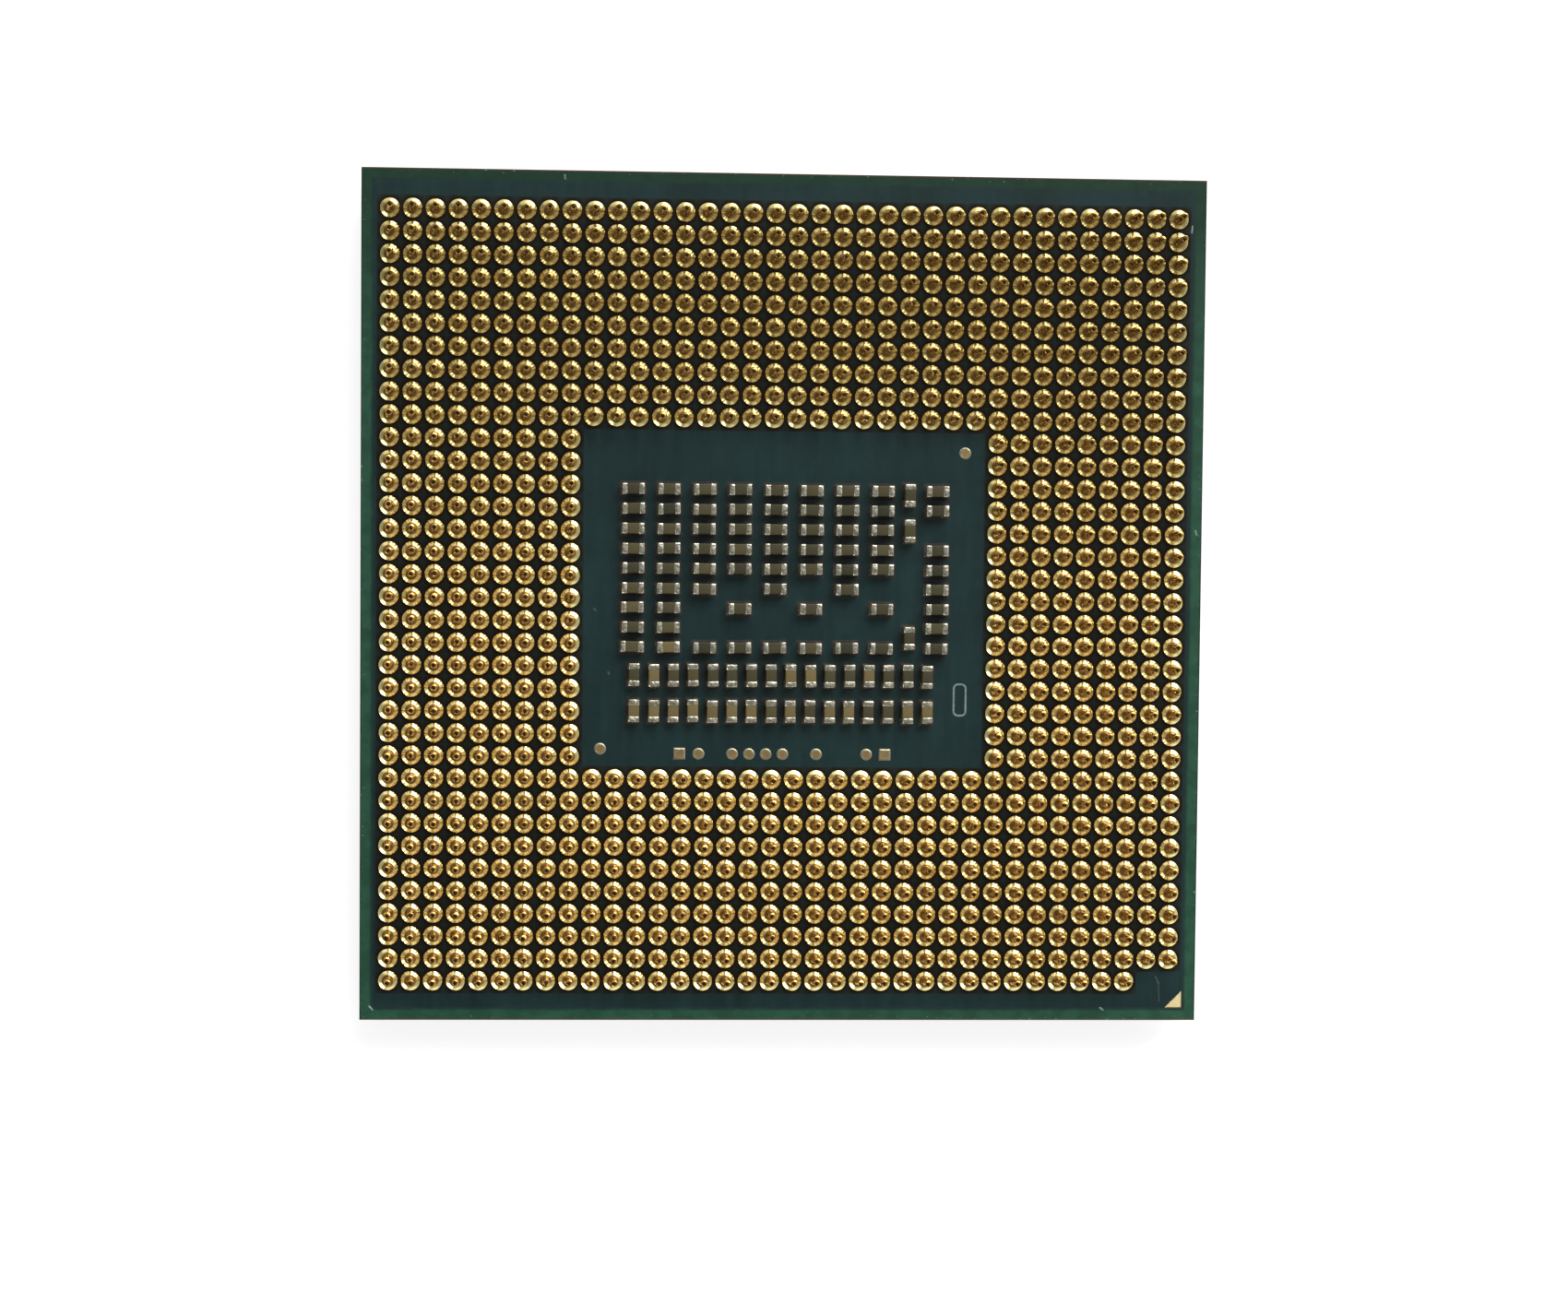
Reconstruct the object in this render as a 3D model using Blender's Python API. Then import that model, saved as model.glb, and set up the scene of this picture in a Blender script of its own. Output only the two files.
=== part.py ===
"""Bare-die processor in a 988-pin grid array package, lying on its die with its pins up.

Metres, +Z up. The origin is the middle of the die's back face, which is the lowest face.
+X runs along the 36 pin columns and +Y along the 35 pin rows. Pin 1's corner is at +X, -Y.
"""
import math

import bmesh
import bpy

MM = 0.001

# Driving dimensions: the package
PACKAGE_SIDE = 37.5 * MM
GAP = 0.005 * MM  # clearance between bonded layers
CORE_THICKNESS = 0.80 * MM
CORE_FOIL_THICKNESS = 0.03 * MM
BUILDUP_THICKNESS = 0.12 * MM
PLANE_THICKNESS = 0.02 * MM
MASK_THICKNESS = 0.03 * MM
MASK_OVER_PLANE = 0.025 * MM
COPPER_SETBACK = 0.50 * MM  # bare border between the copper planes and the package edge

# Driving dimensions: the pin field
PITCH = 1.0 * MM
PIN_COLUMNS = 36
PIN_ROWS = 35
CAVITY_COLUMNS = range(9, 27)
CAVITY_ROWS = range(10, 25)
PIN_DIAMETER = 0.305 * MM
PIN_LENGTH = 1.25 * MM  # from the solder mask to the tip
LAND_THICKNESS = 0.03 * MM
LAND_REACH = 0.44 * MM  # land edge to pin axis
KEYED_COLUMN = 34  # the last row has no pins from this column on

# Driving dimensions: the die and its joint to the package
DIE_LENGTH = 14.5 * MM
DIE_WIDTH = 9.9 * MM
DIE_THICKNESS = 0.775 * MM
BUMP_HEIGHT = 0.07 * MM
BUMP_SETBACK = 0.30 * MM  # die edge to the outermost bumps
FILLET_REACH = 1.1 * MM  # underfill's spread past the die edge
FILLET_CLIMB = 0.45 * MM  # underfill's height up the die's sides
FILLET_LIP = 0.12 * MM  # underfill's thickness where it ends on the die's sides

# Driving dimensions: the capacitors on the pin side
CAP_LENGTH = 1.0 * MM
CAP_WIDTH = 0.5 * MM
CAP_HEIGHT = 0.5 * MM
CAP_STRIP = 0.02 * MM  # copper lands under the terminals
FIRST_COLUMN_X = -6.75 * MM
COLUMN_PITCH = 1.585 * MM
TOP_ROW_Y = 4.82 * MM
ROW_PITCH = 0.872 * MM
RIGHT_COLUMN_X = 6.79 * MM
UPRIGHT_X = 5.55 * MM
UPRIGHT_Y = (4.64 * MM, 3.07 * MM, -1.68 * MM)
LOWER_FIRST_X = -6.67 * MM
LOWER_PITCH = 0.8713 * MM
LOWER_COUNT = 16
LOWER_Y = (-3.38 * MM, -4.975 * MM)

# Driving dimensions: bare pads
PAD_SIZE = 0.50 * MM
PAD_THICKNESS = 0.015 * MM
PAD_CLEARANCE = 0.02 * MM  # pad edge to the mask around it
PAD_ROW_Y = -6.86 * MM
ROUND_PAD_X = (-3.75 * MM, -2.25 * MM, -1.5 * MM, -0.75 * MM, 0.0, 1.5 * MM, 3.75 * MM)
SQUARE_PAD_X = (-4.6 * MM, 4.58 * MM)
FIDUCIALS = {"upper_right": (8.05 * MM, 6.56 * MM), "lower_left": (-8.13 * MM, -6.66 * MM)}
TRIANGLE_LEG = 0.74 * MM
TRIANGLE_CORNER = (18.13 * MM, -18.17 * MM)
ROUND_SIDES = 20

# Heights worked out from the above, from the board's middle plane outwards
FOIL_START = CORE_THICKNESS / 2 + GAP
BUILDUP_START = FOIL_START + CORE_FOIL_THICKNESS + GAP
PLANE_START = BUILDUP_START + BUILDUP_THICKNESS + GAP
MASK_START = PLANE_START
MASK_FACE = PLANE_START + PLANE_THICKNESS + GAP + MASK_OVER_PLANE
PAD_START = PLANE_START + PLANE_THICKNESS + GAP
BUMP_START = DIE_THICKNESS + GAP
BOARD_UNDERSIDE = BUMP_START + BUMP_HEIGHT + GAP
BOARD_MIDDLE = BOARD_UNDERSIDE + MASK_FACE
PIN_SIDE = BOARD_MIDDLE + MASK_FACE
PLANE_SIDE = PACKAGE_SIDE - 2 * COPPER_SETBACK
TRIANGLE_MIDDLE = (TRIANGLE_CORNER[0] - TRIANGLE_LEG / 2, TRIANGLE_CORNER[1] + TRIANGLE_LEG / 2)


def clear_scene():
    for old in list(bpy.data.objects):
        bpy.data.objects.remove(old, do_unlink=True)


def new_collection(name):
    collection = bpy.data.collections.new(name)
    bpy.context.scene.collection.children.link(collection)
    return collection


def make_material(name, colour, roughness, metallic):
    material = bpy.data.materials.new(name)
    material.use_nodes = True
    shader = material.node_tree.nodes["Principled BSDF"]
    shader.inputs["Base Color"].default_value = (*colour, 1.0)
    shader.inputs["Roughness"].default_value = roughness
    shader.inputs["Metallic"].default_value = metallic
    return material


def add_object(bm, name, collection, material=None, location=(0, 0, 0)):
    """Turns a bmesh into a named object, with its faces pointing out."""
    bmesh.ops.recalc_face_normals(bm, faces=bm.faces)
    mesh = bpy.data.meshes.new(name)
    bm.to_mesh(mesh)
    bm.free()
    item = bpy.data.objects.new(name, mesh)
    item.location = location
    collection.objects.link(item)
    if material:
        mesh.materials.append(material)
    return item


def box_shape(length, width, height):
    """A box standing on z = 0, centred in x and y."""
    bm = bmesh.new()
    bmesh.ops.create_cube(bm, size=1.0)
    bmesh.ops.scale(bm, vec=(length, width, height), verts=bm.verts)
    bmesh.ops.translate(bm, vec=(0, 0, height / 2), verts=bm.verts)
    return bm


def disc_shape(diameter, height):
    """A round plate standing on z = 0."""
    bm = bmesh.new()
    bmesh.ops.create_cone(bm, cap_ends=True, segments=ROUND_SIDES, radius1=diameter / 2,
                          radius2=diameter / 2, depth=height)
    bmesh.ops.translate(bm, vec=(0, 0, height / 2), verts=bm.verts)
    return bm


def triangle_shape(leg, height):
    """A right triangle's plate standing on z = 0: its right angle is at +x, -y."""
    bm = box_shape(leg, leg, height)
    everything = bm.verts[:] + bm.edges[:] + bm.faces[:]
    cut = bmesh.ops.bisect_plane(bm, geom=everything, plane_co=(0, 0, 0), plane_no=(-1, 1, 0),
                                 clear_outer=True)
    rim = [part for part in cut["geom_cut"] if isinstance(part, bmesh.types.BMEdge)]
    rim = [edge for edge in rim if edge.is_boundary]
    bmesh.ops.contextual_create(bm, geom=rim)
    return bm


def stud_lines(centres, stud, reach):
    """Grid lines across a row of studs: the plate's edge, both sides of each stud, the other edge."""
    lines = [centres[0] - reach]
    for centre in centres:
        lines += [centre - stud / 2, centre + stud / 2]
    lines.append(centres[-1] + reach)
    return lines


def studded_shape(x_centres, y_centres, stud, reach, plate, rise, missing=None):
    """A plate of the given thickness on z = 0 with a box-shaped stud rising from it at every crossing.

    stud and reach are (x, y) pairs: the stud's size, and how far the plate runs past a stud's axis.
    missing is an (x, y) beyond which, at +x and -y, plate and studs are left out.
    """
    x_lines = stud_lines(sorted(x_centres), stud[0], reach[0])
    y_lines = stud_lines(sorted(y_centres), stud[1], reach[1])
    bm = bmesh.new()
    bmesh.ops.create_grid(bm, x_segments=len(x_lines) - 1, y_segments=len(y_lines) - 1, size=0.5)
    for corner in bm.verts:
        column = round((corner.co.x + 0.5) * (len(x_lines) - 1))
        row = round((corner.co.y + 0.5) * (len(y_lines) - 1))
        corner.co = (x_lines[column], y_lines[row], plate)
    if missing:
        middles = {face: face.calc_center_median() for face in bm.faces}
        outside = [face for face, at in middles.items() if at.x > missing[0] and at.y < missing[1]]
        bmesh.ops.delete(bm, geom=outside, context="FACES")

    def is_stud(face):
        at = face.calc_center_median()
        over_x = min(abs(at.x - centre) for centre in x_centres) < stud[0] / 4
        over_y = min(abs(at.y - centre) for centre in y_centres) < stud[1] / 4
        return over_x and over_y

    tops = [face for face in bm.faces if is_stud(face)]
    raised = bmesh.ops.extrude_discrete_faces(bm, faces=tops)["faces"]
    risen = {corner for face in raised for corner in face.verts}
    bmesh.ops.translate(bm, vec=(0, 0, rise), verts=list(risen))

    rim = [edge for edge in bm.edges if edge.is_boundary]
    skirt = bmesh.ops.extrude_edge_only(bm, edges=rim)["geom"]
    foot = [part for part in skirt if isinstance(part, bmesh.types.BMVert)]
    bmesh.ops.translate(bm, vec=(0, 0, -plate), verts=foot)
    foot_edges = [edge for edge in bm.edges if edge.is_boundary]
    bmesh.ops.edgeloop_fill(bm, edges=foot_edges)
    return bm


def cut_away(item, cutter):
    """Takes the cutter's shape out of the object, and hides the cutter."""
    cutter.hide_render = True
    cutter.display_type = "WIRE"
    cut = item.modifiers.new("cut_" + cutter.name, "BOOLEAN")
    cut.operation = "DIFFERENCE"
    cut.solver = "EXACT"
    cut.object = cutter


def face_outwards(item, side):
    """Puts what was drawn up from the board's middle plane on the pin side (1) or die side (-1).

    The die side is turned over about the diagonal through pin 1's corner, so that corner stays.
    """
    item.location.z = BOARD_MIDDLE + side * item.location.z
    if side < 0:
        item.rotation_euler = (math.pi, 0, -math.pi / 2)


# Positions on the pin grid

def column_x(column):
    return (column - (PIN_COLUMNS - 1) / 2) * PITCH


def row_y(row):
    return ((PIN_ROWS - 1) / 2 - row) * PITCH


# The package's layers

def build_core(parts, materials):
    bm = box_shape(PACKAGE_SIDE, PACKAGE_SIDE, CORE_THICKNESS)
    place = (0, 0, BOARD_MIDDLE - CORE_THICKNESS / 2)
    add_object(bm, "glass_fibre_core", parts, materials["core"], place)


def build_layer(name, side, start, thickness, length, parts, material):
    item = add_object(box_shape(length, length, thickness), name, parts, material, (0, 0, start))
    face_outwards(item, side)


def build_mask(name, side, openings, parts, cutters, material):
    """Solder mask: a thin coat that steps up where it runs over the copper plane."""
    border = COPPER_SETBACK
    bm = studded_shape([0], [0], (PLANE_SIDE, PLANE_SIDE), (PLANE_SIDE / 2 + border,) * 2,
                       MASK_THICKNESS, MASK_FACE - MASK_START - MASK_THICKNESS)
    mask = add_object(bm, name, parts, material, (0, 0, MASK_START))
    pocket_side = PLANE_SIDE + 4 * GAP
    depth = PLANE_THICKNESS + GAP
    pocket = add_object(box_shape(pocket_side, pocket_side, 2 * depth), name + "_pocket", cutters,
                        location=(0, 0, MASK_START - depth))
    cut_away(mask, pocket)
    face_outwards(pocket, side)
    for cutter in openings:
        cut_away(mask, cutter)
    face_outwards(mask, side)


def build_board(parts, cutters, materials, pin_side_openings, die_side_openings):
    build_core(parts, materials)
    for side, word in ((1, "pin_side"), (-1, "die_side")):
        build_layer("core_copper_" + word, side, FOIL_START, CORE_FOIL_THICKNESS, PLANE_SIDE,
                    parts, materials["copper"])
        build_layer("build_up_layer_" + word, side, BUILDUP_START, BUILDUP_THICKNESS, PACKAGE_SIDE,
                    parts, materials["buildup"])
        build_layer("copper_plane_" + word, side, PLANE_START, PLANE_THICKNESS, PLANE_SIDE,
                    parts, materials["copper"])
    build_mask("solder_mask_pin_side", 1, pin_side_openings, parts, cutters, materials["mask"])
    build_mask("solder_mask_die_side", -1, die_side_openings, parts, cutters, materials["mask"])


# Pads seen through openings in the solder mask

def build_pad(name, shape, size, at, side, parts, cutters, material):
    """A gold-plated pad on the copper plane, and the opening around it. Returns the opening."""
    pad = add_object(shape(size, PAD_THICKNESS), name, parts, material, (*at, PAD_START))
    face_outwards(pad, side)
    wide = size + 2 * PAD_CLEARANCE
    if shape is triangle_shape:
        wide = size + (2 + math.sqrt(2)) * PAD_CLEARANCE
    opening = add_object(shape(wide, 4 * MASK_THICKNESS), name + "_opening", cutters,
                         location=(*at, PAD_START - MASK_THICKNESS))
    face_outwards(opening, side)
    return opening


def square_shape(side_length, height):
    return box_shape(side_length, side_length, height)


def build_pads(parts, cutters, material):
    """All bare pads. Returns the openings they need in the mask of each side."""
    pin_side = []
    for word, x in zip(("left", "right"), SQUARE_PAD_X):
        pin_side.append(build_pad("square_test_pad_" + word, square_shape, PAD_SIZE,
                                  (x, PAD_ROW_Y), 1, parts, cutters, material))
    for count, x in enumerate(ROUND_PAD_X, start=1):
        pin_side.append(build_pad(f"round_test_pad_{count}", disc_shape, PAD_SIZE,
                                  (x, PAD_ROW_Y), 1, parts, cutters, material))
    for word, at in FIDUCIALS.items():
        pin_side.append(build_pad("fiducial_" + word, disc_shape, PAD_SIZE, at, 1,
                                  parts, cutters, material))
    pin_side.append(build_pad("pin_one_triangle", triangle_shape, TRIANGLE_LEG, TRIANGLE_MIDDLE,
                              1, parts, cutters, material))
    die_side = [build_pad("pin_one_triangle_die_side", triangle_shape, TRIANGLE_LEG,
                          TRIANGLE_MIDDLE, -1, parts, cutters, material)]
    return pin_side, die_side


# Pins, in blocks that leave the cavity open

def build_pin_block(name, columns, rows, parts, material):
    """A block of pins standing on one sheet of joined lands."""
    missing = None
    if PIN_ROWS - 1 in rows and PIN_COLUMNS - 1 in columns:
        missing = (column_x(KEYED_COLUMN - 1) + PITCH / 2, row_y(PIN_ROWS - 2) - PITCH / 2)
    # a square pin with the same cross-section area as the round one
    width = PIN_DIAMETER * math.sqrt(math.pi) / 2
    bm = studded_shape([column_x(column) for column in columns], [row_y(row) for row in rows],
                       (width, width), (LAND_REACH, LAND_REACH), LAND_THICKNESS,
                       PIN_LENGTH - GAP - LAND_THICKNESS, missing)
    add_object(bm, name, parts, material, (0, 0, PIN_SIDE + GAP))


def build_pins(parts, material):
    left = range(0, CAVITY_COLUMNS.start)
    middle = range(CAVITY_COLUMNS.start, CAVITY_COLUMNS.stop)
    right = range(CAVITY_COLUMNS.stop, PIN_COLUMNS)
    upper = range(0, CAVITY_ROWS.start)
    level = range(CAVITY_ROWS.start, CAVITY_ROWS.stop)
    lower = range(CAVITY_ROWS.stop, PIN_ROWS)
    build_pin_block("pins_upper_left", left, upper, parts, material)
    build_pin_block("pins_upper_middle", middle, upper, parts, material)
    build_pin_block("pins_upper_right", right, upper, parts, material)
    build_pin_block("pins_left", left, level, parts, material)
    build_pin_block("pins_right", right, level, parts, material)
    build_pin_block("pins_lower_left", left, lower, parts, material)
    build_pin_block("pins_lower_middle", middle, lower, parts, material)
    build_pin_block("pins_lower_right", right, lower, parts, material)


# Capacitors in the cavity

def build_capacitors(name, x_centres, y_centres, upright, parts, material):
    """Capacitors side by side on shared lands. upright ones have their long side along Y."""
    size = (CAP_WIDTH, CAP_LENGTH) if upright else (CAP_LENGTH, CAP_WIDTH)
    reach = (size[0] / 2 + CAP_STRIP, size[1] / 2 + CAP_STRIP)
    bm = studded_shape(x_centres, y_centres, size, reach, CAP_STRIP, CAP_HEIGHT)
    add_object(bm, name, parts, material, (0, 0, PIN_SIDE + GAP))


def runs(numbers):
    """Splits whole numbers into runs without a break: 0 1 2 5 6 gives [0, 1, 2] and [5, 6]."""
    found = []
    for number in numbers:
        if found and found[-1][-1] == number - 1:
            found[-1].append(number)
        else:
            found.append([number])
    return found


def capacitor_rows(column):
    """Which of the nine rows hold a capacitor in this column."""
    if column < 2:
        return range(0, 9)
    if column % 2 == 0:
        return (0, 1, 2, 3, 4, 5, 8)
    return (0, 1, 2, 3, 4, 6, 8)


def build_cavity(parts, material):
    for column in range(8):
        x = FIRST_COLUMN_X + column * COLUMN_PITCH
        for part_number, rows in enumerate(runs(capacitor_rows(column))):
            name = f"capacitors_column_{column + 1}"
            if part_number:
                name = f"capacitor_column_{column + 1}_lone_{part_number}"
            ys = [TOP_ROW_Y - row * ROW_PITCH for row in rows]
            build_capacitors(name, [x], ys, False, parts, material)
    for word, rows in (("upper", (0, 1)), ("lower", (3, 4, 5, 6, 7, 8))):
        ys = [TOP_ROW_Y - row * ROW_PITCH for row in rows]
        build_capacitors("capacitors_right_" + word, [RIGHT_COLUMN_X], ys, False, parts, material)
    for count, y in enumerate(UPRIGHT_Y, start=1):
        build_capacitors(f"capacitor_upright_{count}", [UPRIGHT_X], [y], True, parts, material)
    xs = [LOWER_FIRST_X + count * LOWER_PITCH for count in range(LOWER_COUNT)]
    for word, y in zip(("upper", "lower"), LOWER_Y):
        build_capacitors(f"capacitors_{word}_row", xs, [y], True, parts, material)


# The die, its solder bumps and the resin under it

def build_die(parts, cutters, materials):
    add_object(box_shape(DIE_LENGTH, DIE_WIDTH, DIE_THICKNESS), "silicon_die", parts,
               materials["silicon"])
    bumps_long = DIE_LENGTH - 2 * BUMP_SETBACK
    bumps_wide = DIE_WIDTH - 2 * BUMP_SETBACK
    add_object(box_shape(bumps_long, bumps_wide, BUMP_HEIGHT), "solder_bump_layer", parts,
               materials["solder"], (0, 0, BUMP_START))

    # the resin's block narrows away from the board, and the die and the bumps are cut out of it
    resin_top = BOARD_UNDERSIDE - GAP
    height = resin_top - (DIE_THICKNESS - FILLET_CLIMB)
    bm = box_shape(DIE_LENGTH + 2 * FILLET_REACH, DIE_WIDTH + 2 * FILLET_REACH, height)
    for corner in bm.verts:
        if corner.co.z < height / 2:
            corner.co.x = math.copysign(DIE_LENGTH / 2 + FILLET_LIP, corner.co.x)
            corner.co.y = math.copysign(DIE_WIDTH / 2 + FILLET_LIP, corner.co.y)
    resin = add_object(bm, "underfill_fillet", parts, materials["underfill"],
                       (0, 0, resin_top - height))
    die_room = box_shape(DIE_LENGTH + 2 * GAP, DIE_WIDTH + 2 * GAP, BUMP_START)
    cut_away(resin, add_object(die_room, "die_room", cutters))
    # taller than the bumps, so that it cuts right through the resin
    bump_room = box_shape(bumps_long + 2 * GAP, bumps_wide + 2 * GAP, 4 * BUMP_HEIGHT)
    cut_away(resin, add_object(bump_room, "bump_room", cutters,
                               location=(0, 0, BUMP_START - BUMP_HEIGHT)))


def build_all():
    clear_scene()
    parts = new_collection("pin_grid_processor")
    cutters = new_collection("cutters")
    materials = {
        "core": make_material("glass_fibre_resin", (0.46, 0.42, 0.27), 0.7, 0.0),
        "buildup": make_material("build_up_resin", (0.20, 0.17, 0.08), 0.6, 0.0),
        "copper": make_material("copper", (0.78, 0.42, 0.26), 0.35, 1.0),
        "mask": make_material("dark_green_solder_mask", (0.014, 0.035, 0.034), 0.4, 0.0),
        "gold": make_material("gold_plate", (0.86, 0.64, 0.30), 0.3, 1.0),
        "capacitor": make_material("capacitor_ceramic", (0.23, 0.19, 0.14), 0.55, 0.0),
        "silicon": make_material("silicon", (0.18, 0.19, 0.22), 0.15, 0.6),
        "solder": make_material("solder", (0.62, 0.62, 0.60), 0.4, 1.0),
        "underfill": make_material("underfill_resin", (0.03, 0.035, 0.05), 0.45, 0.0),
    }
    pin_side_openings, die_side_openings = build_pads(parts, cutters, materials["gold"])
    build_board(parts, cutters, materials, pin_side_openings, die_side_openings)
    build_pins(parts, materials["gold"])
    build_cavity(parts, materials["capacitor"])
    build_die(parts, cutters, materials)


build_all()
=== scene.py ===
"""Looks of a bare-die processor lying on its chip with its 988 pins up.

Lengths in this script are millimetres unless a name says metres. MM turns them into metres.
"""
import math

import bpy
import numpy as np
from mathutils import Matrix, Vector


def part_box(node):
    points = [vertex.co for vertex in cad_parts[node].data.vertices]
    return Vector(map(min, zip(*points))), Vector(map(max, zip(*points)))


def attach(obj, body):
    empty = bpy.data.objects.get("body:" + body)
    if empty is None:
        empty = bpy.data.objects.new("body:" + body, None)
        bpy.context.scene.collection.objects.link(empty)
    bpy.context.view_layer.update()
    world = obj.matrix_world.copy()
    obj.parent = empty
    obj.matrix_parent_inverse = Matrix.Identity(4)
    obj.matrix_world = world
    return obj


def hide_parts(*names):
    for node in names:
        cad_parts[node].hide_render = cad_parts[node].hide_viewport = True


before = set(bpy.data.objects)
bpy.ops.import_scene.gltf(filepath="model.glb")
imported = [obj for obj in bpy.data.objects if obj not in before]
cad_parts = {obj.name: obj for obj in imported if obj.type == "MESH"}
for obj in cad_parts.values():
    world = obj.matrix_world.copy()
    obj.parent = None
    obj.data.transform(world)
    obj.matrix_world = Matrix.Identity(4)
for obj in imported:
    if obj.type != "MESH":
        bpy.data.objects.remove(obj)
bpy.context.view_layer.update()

MM = 0.001
SEED = 988
rng = np.random.default_rng(SEED)

# Sizes that the frame's plain solids share with these pieces
PITCH = 1.0
LAND_REACH = 0.44  # how far a block's land sheet runs past its outer pins' axes
PIN_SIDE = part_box("solder_mask_pin_side")[1].z / MM
PIN_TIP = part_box("pins_upper_left")[1].z / MM
PIN_LENGTH = PIN_TIP - PIN_SIDE
CAP_STRIP = 0.02  # copper under a capacitor's terminals, and how far it runs past them
CAP_LENGTH = 1.0
CAP_WIDTH = 0.50
CAP_HEIGHT = 0.50
CAP_ROW_PITCH = 0.872
UPRIGHT_PITCH = 0.8713
FIELD_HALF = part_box("pins_upper_right")[1].x / MM
ROWS_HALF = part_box("pins_upper_right")[1].y / MM
CAVITY_HALF_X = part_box("pins_right")[0].x / MM
CAVITY_HALF_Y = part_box("pins_upper_middle")[0].y / MM
COPPER_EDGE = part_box("copper_plane_pin_side")[1].x / MM
BOARD_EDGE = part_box("solder_mask_pin_side")[1].x / MM
# No pin stands beyond this column and this row at pin 1's corner
KEYED_X = FIELD_HALF - LAND_REACH - 1.5 * PITCH
KEYED_Y = -ROWS_HALF + LAND_REACH + 0.5 * PITCH

# Finer sizes
PIN_SIDES = 28
PIN_RADIUS = 0.1525
PIN_LEAN = 0.008  # spread of the pins' leans, sideways per length
LAND_RADIUS = 0.435
TIP_ROUNDING = 0.095
TIP_DOME = 0.065  # how high the rounded end of a pin is
TIP_TILT = 0.14  # spread of the slopes of the pins' ends
# each step inwards over the collar: the radius it ends at, and how steep it is in degrees
COLLAR_SLOPES = ((0.416, 41), (0.375, 36), (0.335, 33), (0.295, 30), (0.265, 24), (0.235, 13),
                 (0.185, 4))
COLLAR_TOP = 0.20
# an uneven collar: how many waves run round it, and the spread of their share of its radius
COLLAR_WAVES = ((1, 0.011), (2, 0.011), (3, 0.008), (4, 0.005), (6, 0.003))
TERMINAL_LENGTH = 0.25
CERAMIC_INSET = 0.018
CAP_ERROR = 0.012  # spread of the capacitors' places, and of their turns in radians
PAD_RIM = 0.07
FLOOR_RADIUS = 2500.0
FLOOR_THICKNESS = 5.0
FLOOR_SIDES = 96


# ---------------------------------------------------------------- shapes

def circle(radius, height, sides):
    turn = np.arange(sides) * 2 * math.pi / sides
    return np.stack([radius * np.cos(turn), radius * np.sin(turn), np.full(sides, height)], axis=-1)


def rounded_rectangle(half_x, half_y, corner, height, steps=4):
    """A level ring round a rectangle, anticlockwise from above, with the same points at any size."""
    points = []
    for quarter, (sign_x, sign_y) in enumerate(((1, 1), (-1, 1), (-1, -1), (1, -1))):
        for step in range(steps + 1):
            turn = (quarter + step / steps) * math.pi / 2
            x = sign_x * (half_x - corner) + corner * math.cos(turn)
            y = sign_y * (half_y - corner) + corner * math.sin(turn)
            points.append((x, y, height))
    return np.array(points)


def loft(rings, closed=False):
    """Vertices and faces through rings of as many points each. Both ends get a fan unless closed."""
    rings = np.array(rings, dtype=float)
    stations, points = rings.shape[:2]
    index = np.arange(stations * points).reshape(stations, points)
    after = np.roll(index, -1, axis=1)
    if closed:
        above, above_after = np.roll(index, -1, axis=0), np.roll(after, -1, axis=0)
        quads = np.stack([index, after, above_after, above], axis=-1).reshape(-1, 4)
        return rings.reshape(-1, 3), [quads]
    quads = np.stack([index[:-1], after[:-1], after[1:], index[1:]], axis=-1).reshape(-1, 4)
    foot = np.full(points, stations * points)
    fans = np.concatenate([np.stack([after[0], index[0], foot], axis=-1),
                           np.stack([index[-1], after[-1], foot + 1], axis=-1)])
    middles = [rings[0].mean(axis=0), rings[-1].mean(axis=0)]
    return np.concatenate([rings.reshape(-1, 3), middles]), [quads, fans]


def joined(shapes):
    """One list of vertices and faces for several shapes."""
    start = 0
    vertices, faces = [], []
    for shape_vertices, shape_faces in shapes:
        vertices.append(shape_vertices)
        faces += [some + start for some in shape_faces]
        start += len(shape_vertices)
    return np.concatenate(vertices), faces


def moved(shape, place, turn=0.0):
    """A shape turned about Z and then moved."""
    vertices, faces = shape
    c, s = math.cos(turn), math.sin(turn)
    rotation = np.array([[c, -s, 0], [s, c, 0], [0, 0, 1]])
    return vertices @ rotation.T + np.array(place), faces


def piece(name, shape, material, finish, *nodes, sharp=40):
    """A mesh object that stands for those nodes of the frame. finish is not used. Edges sharper
    than sharp degrees stay sharp."""
    vertices, faces = shape
    mesh = bpy.data.meshes.new(name)
    corners = np.concatenate([some.ravel() for some in faces])
    sizes = np.concatenate([np.full(len(some), some.shape[1]) for some in faces])
    starts = np.concatenate([[0], np.cumsum(sizes)[:-1]])
    mesh.vertices.add(len(vertices))
    mesh.vertices.foreach_set("co", (vertices * MM).astype(np.float32).ravel())
    mesh.loops.add(len(corners))
    mesh.loops.foreach_set("vertex_index", corners.astype(np.int32))
    mesh.polygons.add(len(sizes))
    mesh.polygons.foreach_set("loop_start", starts.astype(np.int32))
    mesh.update(calc_edges=True)
    mesh.validate()
    mesh.shade_smooth()
    mesh.set_sharp_from_angle(angle=math.radians(sharp))
    mesh.materials.append(material)
    item = bpy.data.objects.new(name, mesh)
    bpy.context.scene.collection.objects.link(item)
    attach(item, "root")
    if nodes:
        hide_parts(*nodes)
    return item


def set_tone(item, values):
    """Gives each point of a piece a number that its material reads."""
    tone = item.data.attributes.new("tone", "FLOAT", "POINT")
    tone.data.foreach_set("value", values.astype(np.float32))


# ---------------------------------------------------------------- materials

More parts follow.
